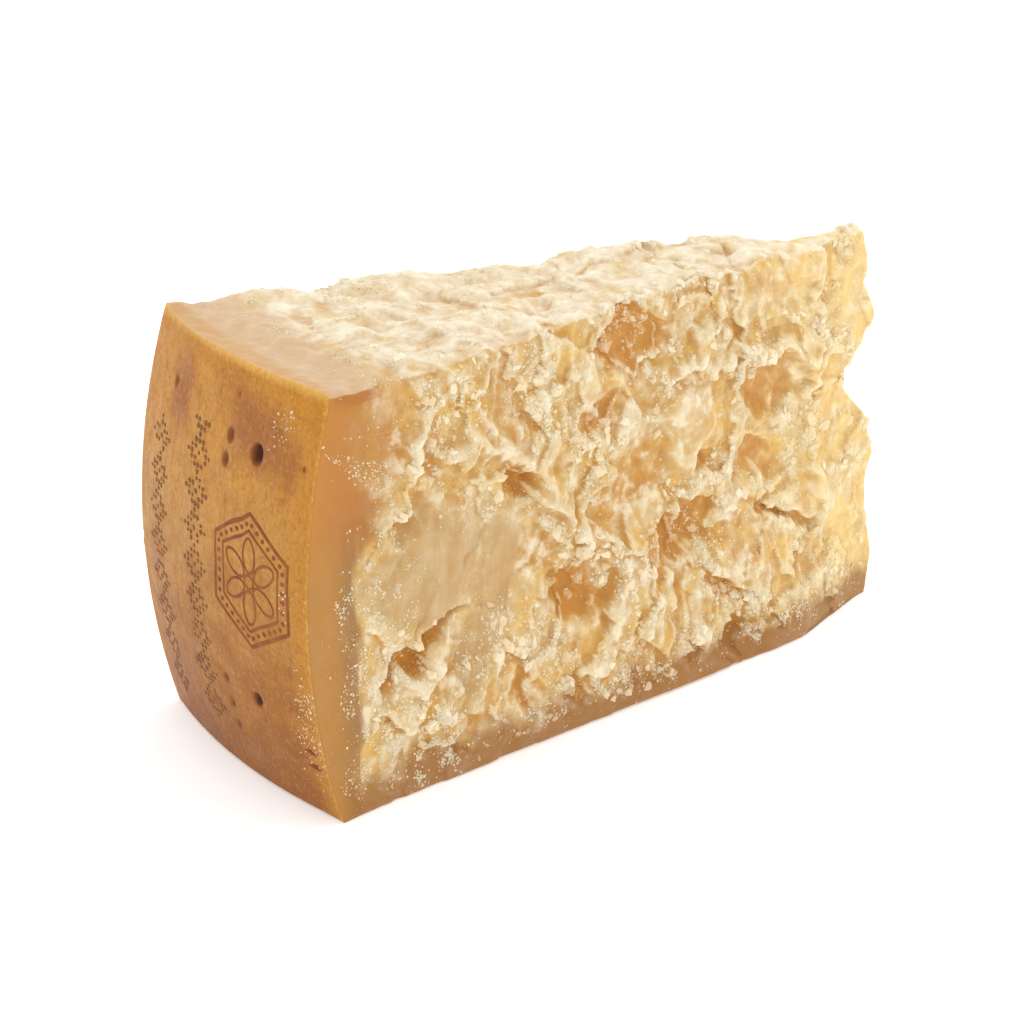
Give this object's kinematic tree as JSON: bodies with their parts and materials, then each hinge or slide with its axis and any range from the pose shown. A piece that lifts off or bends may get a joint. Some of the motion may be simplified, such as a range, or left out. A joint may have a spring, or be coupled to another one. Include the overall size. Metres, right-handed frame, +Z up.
{
  "type": "parmesan chunk",
  "caption": "Wedge-shaped chunk of aged hard cheese with a bellied golden rind at one end and craggy broken faces, standing on its flat side.",
  "frame": {"origin": "under the middle of the chunk's box, on the surface that it rests on", "axes": "+X from the rind to the point of the wedge, along the near broken face; +Y from the near broken face to the far one; +Z up from the flat base to the broken top"},
  "size_m": [0.2332, 0.105, 0.1298],
  "materials": {
    "cheese": "granular straw-coloured cheese paste with a smooth waxy golden rind"
  },
  "bodies": {
    "root": {"cheese_chunk": "cheese"}
  },
  "joints": []
}
